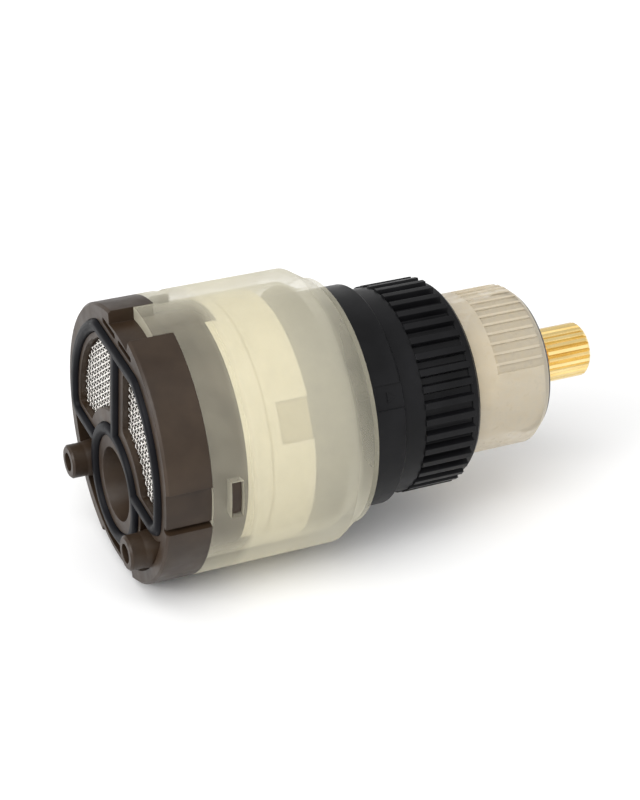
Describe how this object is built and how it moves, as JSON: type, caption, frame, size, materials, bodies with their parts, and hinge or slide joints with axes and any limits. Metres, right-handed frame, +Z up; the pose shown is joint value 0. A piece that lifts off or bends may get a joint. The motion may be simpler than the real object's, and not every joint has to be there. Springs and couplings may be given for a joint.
{
  "type": "coaxial mixing valve cartridge",
  "caption": "Coaxial valve cartridge: screened inlets and a gasketed outlet in the base, ceramic discs in a frosted shell, an outer control collar and an inner brass spindle.",
  "frame": {"origin": "on the cartridge axis, at the base's flat sealing face", "axes": "+X along the cartridge axis from the sealing face to the spindle, +Z up as the cartridge lies on its side"},
  "size_m": [0.0771, 0.04, 0.04],
  "materials": {
    "base_plastic": "dark brown glass-filled moulding, satin",
    "black_rubber": "smooth moulded rubber",
    "woven_steel": "woven stainless wire",
    "frosted_shell": "frosted translucent moulding",
    "cream_plastic": "satin cream moulding",
    "white_ceramic": "lapped alumina",
    "black_plastic": "satin black moulding",
    "slip_plastic": "smooth slippery moulding",
    "frosted_collar": "frosted translucent moulding",
    "grey_plastic": "satin grey moulding",
    "brass": "machined, bright",
    "spring_steel": "phosphated strip"
  },
  "bodies": {
    "housing": {"base": "base_plastic", "port_gasket": "black_rubber", "inlet_screen_left": "woven_steel", "inlet_screen_right": "woven_steel", "sleeve": "frosted_shell", "lower_housing": "cream_plastic", "upper_housing": "cream_plastic", "lower_disc_seal": "black_rubber", "upper_disc_seal": "black_rubber", "housing_seal": "black_rubber", "neck_seal": "black_rubber", "lower_fixed_disc": "white_ceramic", "upper_fixed_disc": "white_ceramic", "neck": "black_plastic", "slip_washer": "slip_plastic"},
    "outer_control": {"control_collar": "frosted_collar", "disc_carrier": "black_plastic", "flow_disc": "white_ceramic", "collar_seals": "black_rubber", "end_bush": "grey_plastic"},
    "inner_control": {"spindle": "brass", "spindle_driver": "slip_plastic", "mixing_disc": "white_ceramic", "spindle_seals": "black_rubber", "spindle_clip": "spring_steel"},
    "stop_ring": {"index_ring": "black_plastic"}
  },
  "joints": [
    {"name": "collar_turn", "type": "hinge", "parent": "housing", "child": "outer_control", "pos_m": [0, 0, 0], "axis": [1, 0, 0], "range_deg": [0, 90]},
    {"name": "spindle_turn", "type": "hinge", "parent": "housing", "child": "inner_control", "pos_m": [0, 0, 0], "axis": [1, 0, 0], "range_deg": [-60, 60]},
    {"name": "ring_turn", "type": "hinge", "parent": "housing", "child": "stop_ring", "pos_m": [0, 0, 0], "axis": [1, 0, 0], "range_deg": [-36, 36]}
  ]
}
